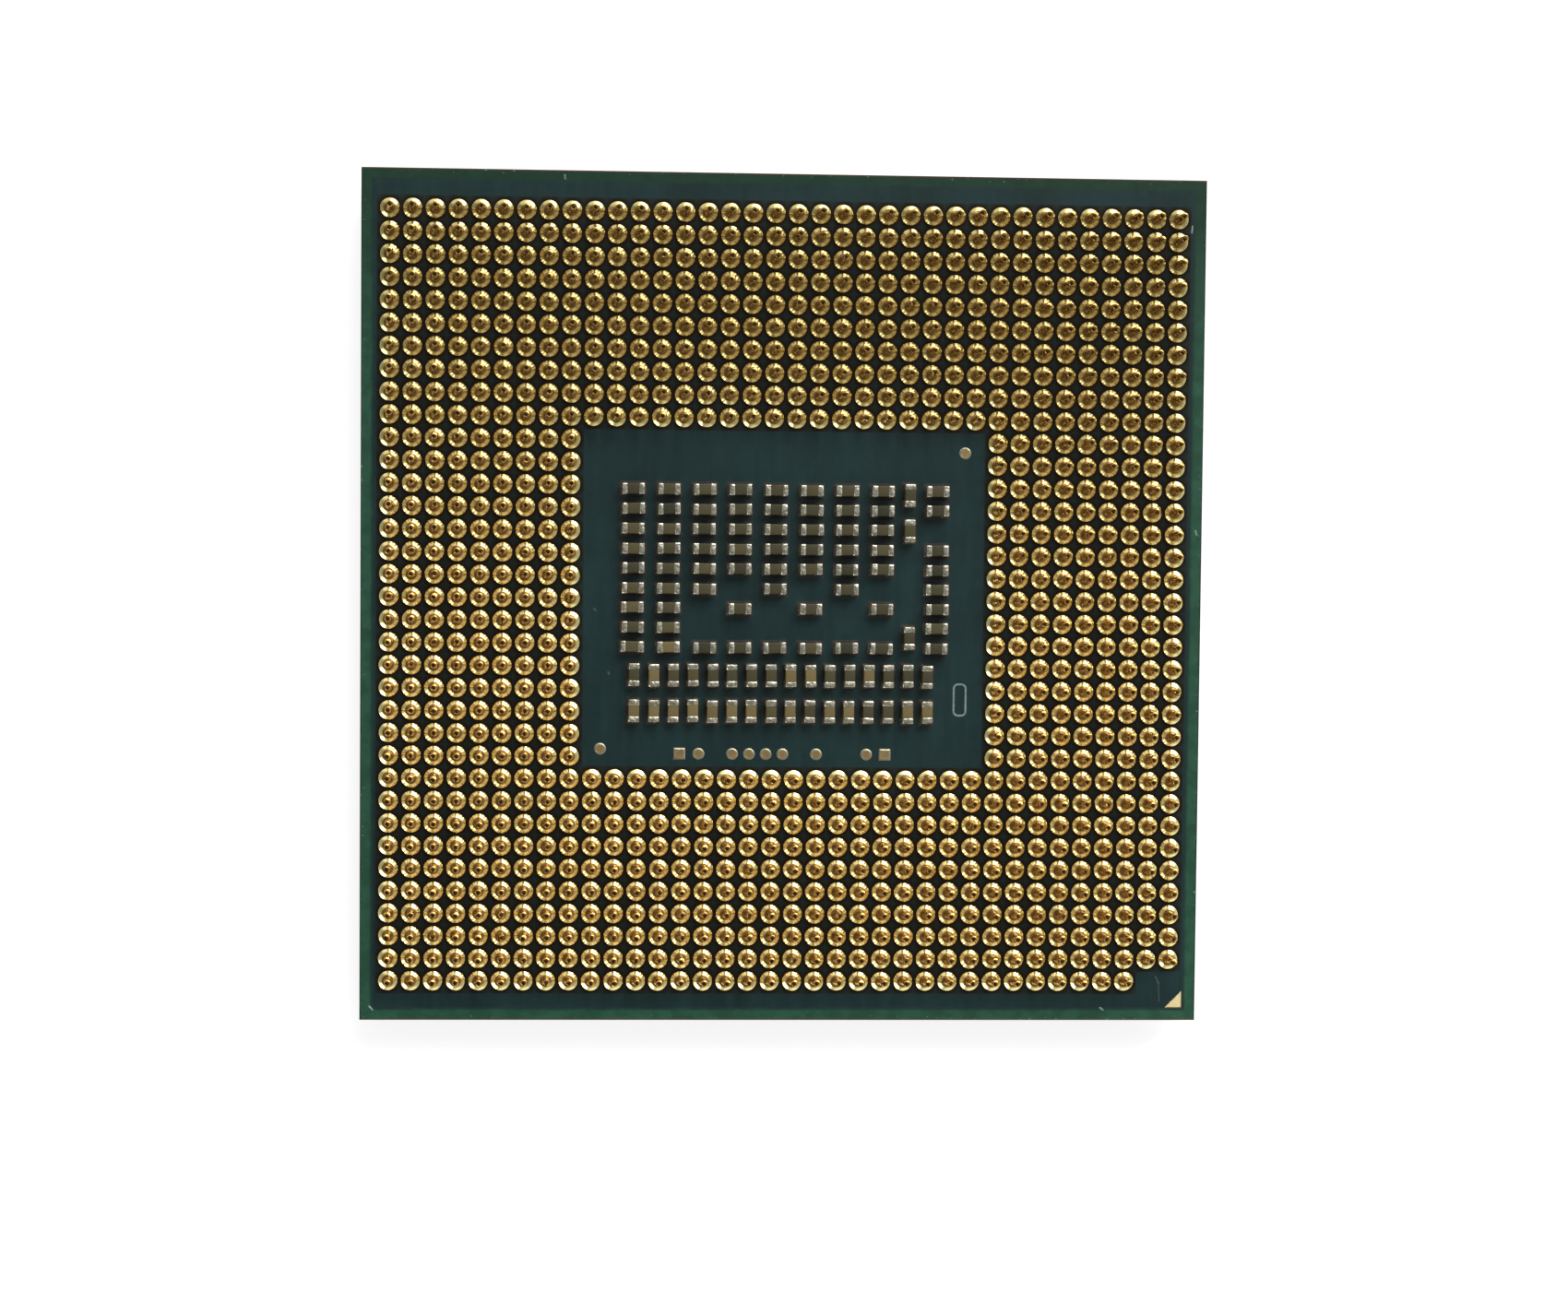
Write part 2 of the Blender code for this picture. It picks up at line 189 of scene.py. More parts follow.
def node(tree, kind, inputs=None, **settings):
    """A shader node with its settings, and its inputs linked or set."""
    made = tree.nodes.new("ShaderNode" + kind)
    for name, value in settings.items():
        setattr(made, name, value)
    for socket, value in (inputs or {}).items():
        if isinstance(value, bpy.types.NodeSocket):
            tree.links.new(value, made.inputs[socket])
        else:
            made.inputs[socket].default_value = value
    return made


def calculate(tree, operation, first, second=0.0, third=0.0):
    return node(tree, "Math", {0: first, 1: second, 2: third}, operation=operation).outputs[0]


def times(tree, first, second):
    return calculate(tree, "MULTIPLY", first, second)


def vector_math(tree, operation, first, second):
    """A vector, or the number that a distance or a dot product is."""
    made = node(tree, "VectorMath", {0: first, 1: second}, operation=operation)
    return made.outputs["Value" if operation in ("DISTANCE", "DOT_PRODUCT") else "Vector"]


def flattened(tree, place):
    return vector_math(tree, "MULTIPLY", place, (1, 1, 0))


def between(tree, value, low, high, out_low=0.0, out_high=1.0):
    """Goes smoothly from out_low to out_high while value goes from low to high."""
    inputs = {"Value": value, "From Min": low, "From Max": high, "To Min": out_low, "To Max": out_high}
    return node(tree, "MapRange", inputs, interpolation_type="SMOOTHSTEP").outputs[0]


def up_to(tree, distance, edge, fade):
    """1 as far as edge, and going down to 0 over fade millimetres beyond it."""
    return between(tree, distance, edge, edge + fade, 1.0, 0.0)


def mix(tree, factor, first, second):
    made = node(tree, "Mix", {"Factor": factor}, data_type="RGBA")
    for socket, value in (("A", first), ("B", second)):
        place = next(s for s in made.inputs if s.name == socket and s.type == "RGBA")
        if isinstance(value, bpy.types.NodeSocket):
            tree.links.new(value, place)
        else:
            place.default_value = (*value, 1.0)
    return next(s for s in made.outputs if s.type == "RGBA")


def noise(tree, place, size, detail=3.0, roughness=0.5, stretch=None):
    """Noise with features of that size in millimetres, stretched along the axes if asked."""
    if stretch:
        place = vector_math(tree, "MULTIPLY", place, stretch)
    inputs = {"Vector": place, "Scale": 1 / size, "Detail": detail, "Roughness": roughness}
    return node(tree, "TexNoise", inputs).outputs["Fac"]


def new_material(name):
    """A material, its node tree, its main shader and the place on the object in millimetres."""
    material = bpy.data.materials.new(name)
    material.use_nodes = True
    tree = material.node_tree
    coordinates = node(tree, "TexCoord").outputs["Object"]
    scaled = node(tree, "VectorMath", {0: coordinates, "Scale": 1 / MM}, operation="SCALE")
    return material, tree, tree.nodes["Principled BSDF"], scaled.outputs[0]


def set_shader(tree, shader, values):
    for socket, value in values.items():
        if isinstance(value, bpy.types.NodeSocket):
            tree.links.new(value, shader.inputs[socket])
        elif isinstance(value, tuple):
            shader.inputs[socket].default_value = (*value, 1.0)
        else:
            shader.inputs[socket].default_value = value


def bump(tree, height, depth, strength=1.0):
    """A normal from a height of 0 to 1 that is depth millimetres deep."""
    inputs = {"Height": height, "Distance": depth * MM, "Strength": strength}
    return node(tree, "Bump", inputs).outputs["Normal"]


def gold(name, light, dark, matte=0.10, middle=None):
    """Gold plating with darker films and a fine grain. middle is the colour where a pad's tone is 1."""
    material, tree, shader, place = new_material(name)
    film = between(tree, noise(tree, place, 0.28, 4.0, 0.6), 0.42, 0.72)
    colour = mix(tree, times(tree, film, 0.45), light, dark)
    if middle:
        inside = node(tree, "Attribute", attribute_name="tone").outputs["Fac"]
        colour = mix(tree, inside, colour, middle)
    rough = calculate(tree, "MULTIPLY_ADD", noise(tree, place, 0.12), 0.20, matte)
    set_shader(tree, shader, {"Base Color": colour, "Metallic": 1.0, "Roughness": rough,
                              "Normal": bump(tree, noise(tree, place, 0.035, 2.0), 0.004, 0.5)})
    return material


def pin_gold_with_painted_shade(name, light, dark, shaft_shade_colour):
    """The pins' gold plating, whose hue differs a little from pin to pin, with painted light: a pale
    sheen and orange-brown shade painted over the collar, and painted shade towards +Y, over the shaft
    and on the flat of a tip."""
    material, tree, shader, place = new_material(name)
    film = between(tree, noise(tree, place, 0.28, 4.0, 0.6), 0.42, 0.72)
    cell, axis_gap = pin_cell(tree, place)
    own = node(tree, "TexWhiteNoise", {"Vector": cell}, noise_dimensions="2D").outputs["Value"]
    redder = tuple(channel * share for channel, share in zip(light, (1.01, 0.92, 0.77)))
    colour = mix(tree, times(tree, film, 0.45), mix(tree, own, light, redder), dark)
    # painted light over the solder collar: a painted pale sheen on its outer part and painted
    # orange-brown shade next to the shaft
    colour = mix(tree, between(tree, axis_gap, 0.29, 0.37, 0.0, 0.65), colour, (0.93, 0.865, 0.42))
    colour = mix(tree, between(tree, axis_gap, 0.23, 0.30, 0.90, 0.0), colour, (0.84, 0.47, 0.125))
    axes = node(tree, "SeparateXYZ", {0: place}).outputs
    # painted shade: the pins get darker towards +Y
    tarnish_and_painted_shade = between(tree, axes["Y"], -4.0, 15.0, 0.0, 0.62)
    colour = mix(tree, tarnish_and_painted_shade, colour, tuple(channel * 0.5 for channel in dark))
    # painted shade covers the shaft but for the rim of its end, broken up by noise
    at_tip = between(tree, axes["Z"], PIN_TIP - 0.12, PIN_TIP - 0.05)
    rim = times(tree, between(tree, axis_gap, 0.055, 0.10), at_tip)
    shaft = times(tree, between(tree, axis_gap, 0.20, 0.29, 1.0, 0.0),
                  calculate(tree, "MULTIPLY_ADD", rim, -0.85, 1.0))
    uneven = between(tree, noise(tree, place, 0.14, 2.0), 0.35, 0.60, 0.55, 1.0)
    shaft_shade = times(tree, shaft, uneven)
    colour = mix(tree, times(tree, shaft_shade, 0.90), colour, shaft_shade_colour)
    # painted shade on the flat of the tip lies off the axis towards the lower left
    tip_shade_at = vector_math(tree, "ADD", cell, (-0.050, -0.045, 0))
    off_tip_shade = vector_math(tree, "DISTANCE", tip_shade_at, flattened(tree, place))
    ragged = calculate(tree, "MULTIPLY_ADD", noise(tree, place, 0.09, 2.0), 0.12, off_tip_shade)
    face = times(tree, between(tree, ragged, 0.12, 0.19, 0.88, 0.0), at_tip)
    colour = mix(tree, face, colour, (0.060, 0.028, 0.008))
    rough = calculate(tree, "MULTIPLY_ADD", noise(tree, place, 0.12), 0.20, 0.10)
    rough = calculate(tree, "MULTIPLY_ADD", shaft_shade, 0.10, rough)
    set_shader(tree, shader, {"Base Color": colour, "Metallic": 1.0, "Roughness": rough,
                              "Normal": bump(tree, noise(tree, place, 0.035, 2.0), 0.004, 0.5)})
    return material


def pin_cell(tree, place):
    """The middle of the nearest place in the pin grid, and how far away that middle is."""
    flat = flattened(tree, place)
    shifted = vector_math(tree, "ADD", flat, (PITCH, PITCH / 2, 0))
    corner = vector_math(tree, "SNAP", shifted, (PITCH, PITCH, PITCH))
    cell = vector_math(tree, "ADD", corner, (-PITCH / 2, 0, 0))
    return cell, vector_math(tree, "DISTANCE", cell, flat)


def scratch(tree, place, start, end, width):
    """1 on a straight scratch between two points of the board, 0 off it."""
    start, end = Vector((*start, 0)), Vector((*end, 0))
    along = end - start
    from_start = vector_math(tree, "SUBTRACT", flattened(tree, place), start)
    reach = vector_math(tree, "DOT_PRODUCT", from_start, along / along.length_squared)
    share = node(tree, "Clamp", {"Value": reach}).outputs[0]
    inputs = {0: tuple(along), "Scale": share}
    nearest = node(tree, "VectorMath", inputs, operation="SCALE").outputs[0]
    off = vector_math(tree, "DISTANCE", from_start, nearest)
    return between(tree, off, width * 0.35, width, 1.0, 0.0)


SCRATCHES = (  # start, end, width, strength
    ((-18.31, -18.15), (-18.18, -18.29), 0.055, 0.75),
    ((14.45, -18.19), (14.59, -18.29), 0.055, 0.60),
    ((18.12, 16.72), (18.10, 16.44), 0.045, 0.60),
    ((16.95, -16.76), (17.09, -17.06), 0.040, 0.16),
    ((17.09, -17.06), (17.14, -17.90), 0.045, 0.08),
    ((-9.84, 18.54), (-9.82, 18.38), 0.06, 0.30),
    ((18.47, 3.22), (18.52, 3.06), 0.06, 0.45),
    ((-8.44, -0.47), (-8.36, -0.55), 0.05, 0.12),
    ((-7.80, -3.26), (-7.74, -3.36), 0.05, 0.12),
)


def scratched(tree, place, colour):
    """The colour with every scratch laid over it, broken up along its length."""
    broken = between(tree, noise(tree, place, 0.05, 2.0), 0.30, 0.55, 0.5, 1.0)
    for start, end, width, strength in SCRATCHES:
        mark = times(tree, scratch(tree, place, start, end, width), broken)
        colour = mix(tree, times(tree, mark, strength), colour, (0.42, 0.55, 0.47))
    return colour


def painted_shade_between_pins(tree, place):
    """Painted shade: high near the pins and lower midway between them, 0 where no pins stand."""
    axes = node(tree, "SeparateXYZ", {0: place}).outputs
    far_x, far_y = calculate(tree, "ABSOLUTE", axes["X"]), calculate(tree, "ABSOLUTE", axes["Y"])
    margin, fade = 0.06, 0.11

    def inside(half_x, half_y):
        return times(tree, up_to(tree, far_x, half_x, fade), up_to(tree, far_y, half_y, fade))

    in_field = inside(FIELD_HALF + margin, ROWS_HALF + margin)
    in_cavity = inside(CAVITY_HALF_X - margin - fade, CAVITY_HALF_Y - margin - fade)
    in_corner = times(tree, between(tree, axes["X"], KEYED_X, KEYED_X + fade),
                      up_to(tree, axes["Y"], KEYED_Y - fade, fade))
    near = between(tree, pin_cell(tree, place)[1], 0.46, 0.68, 0.95, 0.38)
    near = times(tree, near, in_field)
    for bare_place in (in_cavity, in_corner):
        near = times(tree, near, calculate(tree, "SUBTRACT", 1.0, bare_place))
    return near


def solder_mask(name, pin_field):
    """Green lacquer: dark over the copper plane, lighter over bare resin along the rim."""
    material, tree, shader, place = new_material(name)
    axes = node(tree, "SeparateXYZ", {0: place}).outputs
    far_x, far_y = calculate(tree, "ABSOLUTE", axes["X"]), calculate(tree, "ABSOLUTE", axes["Y"])
    outermost = calculate(tree, "MAXIMUM", far_x, far_y)
    wander = calculate(tree, "MULTIPLY_ADD", noise(tree, place, 0.9), 0.10, -0.05)
    clouds = noise(tree, place, 3.5, 3.0)
    weave = noise(tree, place, 0.32, 2.0, stretch=(1.0, 0.12, 1.0))
    tone = calculate(tree, "MULTIPLY_ADD", weave, 0.35, times(tree, clouds, 0.65))
    over_copper = mix(tree, between(tree, tone, 0.35, 0.65), (0.0062, 0.0210, 0.0218),
                      (0.0095, 0.0302, 0.0306))
    rim_tone = between(tree, noise(tree, place, 0.6, 4.0), 0.35, 0.65)
    over_resin = mix(tree, rim_tone, (0.0140, 0.0600, 0.0340), (0.0210, 0.0820, 0.0480))
    # painted shade: the lighter rim of lacquer gets darker towards +Y
    painted_shade_towards_top = between(tree, axes["Y"], 10.0, BOARD_EDGE, 0.0, 0.72)
    over_resin = mix(tree, painted_shade_towards_top, over_resin, (0.0050, 0.0190, 0.0100))
    outward = calculate(tree, "ADD", outermost, wander)
    rim = between(tree, outward, COPPER_EDGE - 0.10, COPPER_EDGE + 0.12)
    colour = mix(tree, rim, over_copper, over_resin)
    specks = between(tree, noise(tree, place, 0.11, 2.0, 0.7), 0.74, 0.80)
    colour = mix(tree, times(tree, specks, 0.35), colour, (0.07, 0.11, 0.10))
    # along the sawn edge the lacquer is off, and chipped a little further in
    edge = calculate(tree, "MULTIPLY_ADD", wander, 0.5, outermost)
    bare = between(tree, edge, BOARD_EDGE - 0.07, BOARD_EDGE - 0.03)
    sawn = mix(tree, calculate(tree, "GREATER_THAN", far_y, far_x), (0.012, 0.012, 0.008),
               (0.10, 0.040, 0.022))
    colour = mix(tree, times(tree, bare, 0.8), colour, sawn)
    chips = between(tree, noise(tree, place, 0.14, 3.0, 0.6), 0.66, 0.72)
    chipped = times(tree, chips, between(tree, edge, BOARD_EDGE - 0.30, BOARD_EDGE - 0.08))
    colour = mix(tree, times(tree, chipped, 0.6), colour, (0.30, 0.36, 0.28))
    gloss = 0.35
    if pin_field:
        near = painted_shade_between_pins(tree, place)
        # painted shade between the pins: warm near-black, strongest at the edges of the lands
        colour = scratched(tree, place, mix(tree, near, colour, (0.0150, 0.0085, 0.0040)))
        gloss = calculate(tree, "MULTIPLY_ADD", near, -0.28, gloss)
    ripple = noise(tree, place, 0.45, 3.0)
    rough = calculate(tree, "MULTIPLY_ADD", noise(tree, place, 0.25, 2.0), 0.12, 0.29)
    set_shader(tree, shader, {"Base Color": colour, "Roughness": rough, "Specular IOR Level": gloss,
                              "Normal": bump(tree, ripple, 0.010, 0.5)})
    return material


def resin(name, light, dark):
    """Cut edge of a resin layer: fine level streaks of glass, and saw marks across them."""
    material, tree, shader, place = new_material(name)
    streaks = noise(tree, place, 0.10, 4.0, 0.65, stretch=(0.06, 0.06, 1.0))
    bundles = noise(tree, place, 0.24, 2.0, stretch=(1.0, 1.0, 0.8))
    cuts = noise(tree, place, 0.06, 2.0, stretch=(1.0, 1.0, 0.05))
    tone = calculate(tree, "MULTIPLY_ADD", bundles, 0.3, times(tree, streaks, 0.7))
    colour = mix(tree, between(tree, tone, 0.30, 0.72), dark, light)
    relief = calculate(tree, "MULTIPLY_ADD", cuts, 0.5, streaks)
    set_shader(tree, shader, {"Base Color": colour, "Roughness": 0.70,
                              "Normal": bump(tree, relief, 0.02, 0.6)})
    return material


def copper(name):
    material, tree, shader, place = new_material(name)
    tarnish_and_painted_shade = between(tree, noise(tree, place, 0.8, 4.0, 0.6), 0.35, 0.7)
    colour = mix(tree, tarnish_and_painted_shade, (0.80, 0.42, 0.26), (0.42, 0.20, 0.11))
    rough = calculate(tree, "MULTIPLY_ADD", noise(tree, place, 0.1), 0.25, 0.25)
    set_shader(tree, shader, {"Base Color": colour, "Metallic": 1.0, "Roughness": rough})
    return material


def tin(name, light, dark, roughness):
    """Tinned metal: pale, a little dented, with duller patches."""
    material, tree, shader, place = new_material(name)
    patches = between(tree, noise(tree, place, 0.20, 3.0, 0.55), 0.38, 0.62)
    colour = mix(tree, patches, light, dark)
    dents = noise(tree, place, 0.16, 2.0, 0.5)
    rough = calculate(tree, "MULTIPLY_ADD", patches, 0.16, roughness)
    set_shader(tree, shader, {"Base Color": colour, "Metallic": 1.0, "Roughness": rough,
                              "Normal": bump(tree, dents, 0.035, 0.9)})
    return material


def ceramic(name, light, dark):
    """Capacitor body: fine-grained, each one a little lighter or darker than the next."""
    material, tree, shader, place = new_material(name)
    tone = node(tree, "Attribute", attribute_name="tone").outputs["Fac"]
    grain = noise(tree, place, 0.05, 3.0, 0.6)
    blend = calculate(tree, "MULTIPLY_ADD", grain, 0.30, calculate(tree, "ADD", tone, -0.15))
    colour = mix(tree, blend, dark, light)
    rough = calculate(tree, "MULTIPLY_ADD", noise(tree, place, 0.12), 0.2, 0.38)
    set_shader(tree, shader, {"Base Color": colour, "Roughness": rough, "Specular IOR Level": 0.25,
                              "Normal": bump(tree, grain, 0.006, 0.6)})
    return material


def silicon(name):
    """Ground and polished back of the chip, with faint arcs from grinding."""
    material, tree, shader, place = new_material(name)
    arcs = noise(tree, place, 0.10, 4.0, 0.7, stretch=(0.03, 1.0, 1.0))
    haze = noise(tree, place, 4.0, 3.0)
    colour = mix(tree, haze, (0.24, 0.25, 0.29), (0.32, 0.33, 0.37))
    rough = calculate(tree, "MULTIPLY_ADD", arcs, 0.10, 0.10)
    set_shader(tree, shader, {"Base Color": colour, "Metallic": 1.0, "Roughness": rough,
                              "Normal": bump(tree, arcs, 0.0012, 0.4)})
    return material


def underfill(name):
    material, tree, shader, place = new_material(name)
    filler = between(tree, noise(tree, place, 0.05, 2.0, 0.7), 0.60, 0.75)
    flow = noise(tree, place, 1.4, 3.0)
    colour = mix(tree, flow, (0.018, 0.022, 0.034), (0.035, 0.040, 0.055))
    colour = mix(tree, times(tree, filler, 0.5), colour, (0.10, 0.10, 0.11))
    rough = calculate(tree, "MULTIPLY_ADD", flow, 0.2, 0.22)
    set_shader(tree, shader, {"Base Color": colour, "Roughness": rough,
                              "Normal": bump(tree, flow, 0.06, 0.6)})
    return material


def ink(name):
    material, tree, shader, place = new_material(name)
    worn = between(tree, noise(tree, place, 0.07, 4.0, 0.7), 0.35, 0.62)
    colour = mix(tree, worn, (0.10, 0.15, 0.13), (0.22, 0.28, 0.25))
    set_shader(tree, shader, {"Base Color": colour, "Roughness": 0.6,
                              "Normal": bump(tree, worn, 0.006, 0.6)})
    return material


def table_top(name):
    """A white table lit a little from below, which keeps shadows on it faint."""
    material, tree, shader, place = new_material(name)
    mottle = noise(tree, place, 40.0, 4.0)
    colour = mix(tree, mottle, (0.44, 0.44, 0.44), (0.47, 0.47, 0.47))
    set_shader(tree, shader, {"Base Color": colour, "Roughness": 0.8, "Specular IOR Level": 0.2,
                              "Emission Color": (1.0, 1.0, 1.0), "Emission Strength": 0.72})
    return material


# ---------------------------------------------------------------- pins

def pin_profile():
    """A pin from its land's edge over the solder collar and up the shaft to the tip, as (r, z)."""
    land = [(LAND_RADIUS - 0.006, 0.0), (LAND_RADIUS, 0.014), (LAND_RADIUS - 0.004, 0.030)]
    radius, height = land[-1]
    collar = []
    for inner_radius, slope in COLLAR_SLOPES:
        height += (radius - inner_radius) * math.tan(math.radians(slope))
        radius = inner_radius
        collar.append((radius, height))
    foot = [(PIN_RADIUS + 0.012, height + 0.010), (PIN_RADIUS + 0.002, height + 0.030)]
    shaft = [(PIN_RADIUS, height + 0.070), (PIN_RADIUS, PIN_LENGTH - TIP_DOME)]
    tip = []
    for step in range(1, 7):
        turn = step / 6 * math.pi / 2
        tip.append((PIN_RADIUS - TIP_ROUNDING * (1 - math.cos(turn)),
                    PIN_LENGTH - TIP_DOME * (1 - math.sin(turn))))
    return land + collar + foot + shaft + tip


def pin_block(name, material):
    """Every pin of one block, each with its own slight lean and uneven collar."""
    low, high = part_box(name)
    xs = np.arange(low.x / MM + LAND_REACH, high.x / MM - LAND_REACH + PITCH / 2, PITCH)
    ys = np.arange(low.y / MM + LAND_REACH, high.y / MM - LAND_REACH + PITCH / 2, PITCH)
    places = [(x, y) for x in xs for y in ys if not (x > KEYED_X and y < KEYED_Y)]
    count = len(places)
    vertices, faces = loft([circle(radius, height, PIN_SIDES) for radius, height in pin_profile()])
    turn = np.arctan2(vertices[:, 1], vertices[:, 0])
    on_collar = np.clip((COLLAR_TOP - vertices[:, 2]) / 0.05, 0, 1)
    swell = np.zeros((count, len(vertices)))
    for waves, size in COLLAR_WAVES:
        phase = rng.uniform(0, 2 * math.pi, (count, 1))
        strength = rng.normal(0, size, (count, 1))
        swell += strength * np.cos(waves * turn[None, :] + phase)
    grown = 1 + swell * on_collar[None, :]
    x = vertices[None, :, 0] * grown
    y = vertices[None, :, 1] * grown
    z = vertices[None, :, 2] * (1 + 2.5 * swell * on_collar[None, :])
    lean_x, lean_y = rng.normal(0, PIN_LEAN, (2, count, 1))
    end_x, end_y = rng.normal(0, TIP_TILT, (2, count, 1))
    at_tip = vertices[:, 2] > PIN_LENGTH - TIP_DOME * 0.9
    z = z + at_tip[None, :] * (end_x * x + end_y * y)
    z = np.minimum(z, PIN_LENGTH)
    spots = np.array(places)
    x = x + lean_x * z + spots[:, :1]
    y = y + lean_y * z + spots[:, 1:]
    everything = np.stack([x, y, z + PIN_SIDE], axis=-1).reshape(-1, 3)
    starts = (np.arange(count) * len(vertices))[:, None, None]
    all_faces = [(some[None] + starts).reshape(-1, some.shape[1]) for some in faces]
    return piece(name.replace("pins", "turned_pins"), (everything, all_faces), material,
                 "gold_plated_pins", name, sharp=50)


# ---------------------------------------------------------------- capacitors

def bar(start, end, width, height, corner, rounding, lift=0.0, wobble=0.0):
    """A bar along X from start to end with rounded edges and ends, standing on z = lift."""
    stations = []
    for step in range(4):
        turn = step / 3 * math.pi / 2
        stations.append((start + rounding * (1 - math.sin(turn)), rounding * (1 - math.cos(turn))))
    stations = stations[::-1]
    stations += [(start + end - x, inset) for x, inset in reversed(stations)]
    rings = []
    for number, (x, inset) in enumerate(stations):
        ring = rounded_rectangle(width / 2 - inset, height / 2 - inset, max(corner - inset, 0.012), 0)
        across, up = ring[:, 0], ring[:, 1]
        drift = rng.normal(0, wobble, len(ring)) if 0 < number < len(stations) - 1 else 0
        rings.append(np.stack([np.full(len(ring), x) + drift, across, up + height / 2 + lift], -1))
    return loft(rings)


def solder_skirt(outer_x, side):
    """Solder round the foot of a terminal, drawn up its end face. side is -1 or 1 along X."""
    rings = []
    for height, spread in ((0.0, 0.055), (0.018, 0.052), (0.045, 0.030), (0.10, 0.012), (0.20, 0.002)):
        half_x = TERMINAL_LENGTH / 2 + spread
        ring = rounded_rectangle(half_x, CAP_WIDTH / 2 + spread * 0.6, 0.05 + spread / 2, height)
        ring[:, 0] += side * (outer_x - TERMINAL_LENGTH / 2)
        rings.append(ring)
    return loft(rings)


def capacitor(turn):
    """One capacitor's ceramic body and its metal: two terminals and the solder at their feet."""
    half = CAP_LENGTH / 2 + rng.normal(0, 0.006)
    body = bar(-half + 0.06, half - 0.06, CAP_WIDTH - 2 * CERAMIC_INSET, CAP_HEIGHT - 2 * CERAMIC_INSET,
               0.04, 0.02, CERAMIC_INSET + CAP_STRIP)
    metal = []
    for side in (-1, 1):
        reach = TERMINAL_LENGTH + rng.normal(0, 0.012)
        ends = sorted((side * half, side * (half - reach)))
        metal.append(bar(ends[0], ends[1], CAP_WIDTH, CAP_HEIGHT, 0.07, 0.045, CAP_STRIP, 0.004))
        metal.append(solder_skirt(half, side))
    return moved(body, (0, 0, 0), turn), moved(joined(metal), (0, 0, 0), turn)


def shade_sheet():
    """Painted shade round the foot of one capacitor: a thin dark sheet with the look of bare laminate.
    """
    rings = [rounded_rectangle(CAP_LENGTH / 2 + out, CAP_WIDTH / 2 + out, 0.10, z)
             for out, z in ((0.115, 0.0), (0.105, 0.003))]
    return loft(rings)


def capacitor_group(name, ceramic_material, metal_material, shade_sheet_material):
    """The capacitors of one group: a row of upright ones or a column of lying ones."""
    low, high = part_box(name)
    low, high = np.array(low) / MM, np.array(high) / MM
    upright = "upright" in name or "row" in name
    across, along = (UPRIGHT_PITCH, 0) if upright else (0, CAP_ROW_PITCH)
    size = np.array([CAP_WIDTH, CAP_LENGTH] if upright else [CAP_LENGTH, CAP_WIDTH]) + 2 * CAP_STRIP
    span = (high - low)[:2] - size
    count = 1 + round(max(span[0] / UPRIGHT_PITCH, span[1] / CAP_ROW_PITCH))
    tan_share = 0.8 if "lower_row" in name else 0.15 if upright else 0.03
    bodies, metals, tones, shade_sheets = [], [], [], []
    for number in range(count):
        x = low[0] + size[0] / 2 + across * number + rng.normal(0, CAP_ERROR)
        y = low[1] + size[1] / 2 + along * number + rng.normal(0, CAP_ERROR)
        turn = (math.pi / 2 if upright else 0) + rng.normal(0, CAP_ERROR)
        body, metal = capacitor(turn)
        bodies.append(moved(body, (x, y, PIN_SIDE)))
        metals.append(moved(metal, (x, y, PIN_SIDE)))
        shade_sheets.append(moved(shade_sheet(), (x, y, PIN_SIDE), turn))
        tan = rng.random() < tan_share
        tones.append(np.full(len(body[0]), np.clip(rng.normal(0.72 if tan else 0.17, 0.08), 0, 1)))
    # painted shade sheets round the capacitors' feet
    piece(name + "_painted_shade_sheets", joined(shade_sheets), shade_sheet_material, "solder_mask", name)
    made = piece(name + "_ceramic", joined(bodies), ceramic_material, "capacitor", name)
    set_tone(made, np.concatenate(tones))
    piece(name + "_terminals", joined(metals), metal_material, "solder", name, sharp=60)


# ---------------------------------------------------------------- pads and marks

def domed(ring_at, reach, height, border=None):
    """A pad's shape from its edge up a rim as wide as reach to its flat top. ring_at(inset, z) draws
    one ring. border is the inset of one more ring on the top."""
    rings = [ring_at(0.0, 0.0), ring_at(0.0, height * 0.25)]
    for step in range(1, 5):
        turn = step / 4 * math.pi / 2
        rings.append(ring_at(reach * math.sin(turn), height * (1 - 0.75 * math.cos(turn))))
    if border:
        rings.append(ring_at(border, height))
    return loft(rings)


def pad(name, material):
    """A small plated pad whose finish is browner in the middle than on its rim."""
    low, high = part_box(name)
    middle, half = (low + high) / 2 / MM, (high.x - low.x) / 2 / MM
    height = PIN_SIDE + 0.016 - low.z / MM

    def round_ring(inset, z):
        return circle(half + 0.015 - inset, z, 36)

    def square_ring(inset, z):
        return rounded_rectangle(half + 0.01 - inset, half + 0.01 - inset, max(0.07 - inset, 0.02), z)

    square = "square" in name
    shape = domed(square_ring if square else round_ring, PAD_RIM, height, 0.15)
    across = shape[0][:, :2]
    from_middle = np.abs(across).max(axis=1) if square else np.linalg.norm(across, axis=1)
    made = piece(name + "_dome", moved(shape, (middle.x, middle.y, low.z / MM)), material,
                 "gold_plated_pads", name)
    set_tone(made, np.clip((half - PAD_RIM - from_middle) / 0.06, 0, 1))


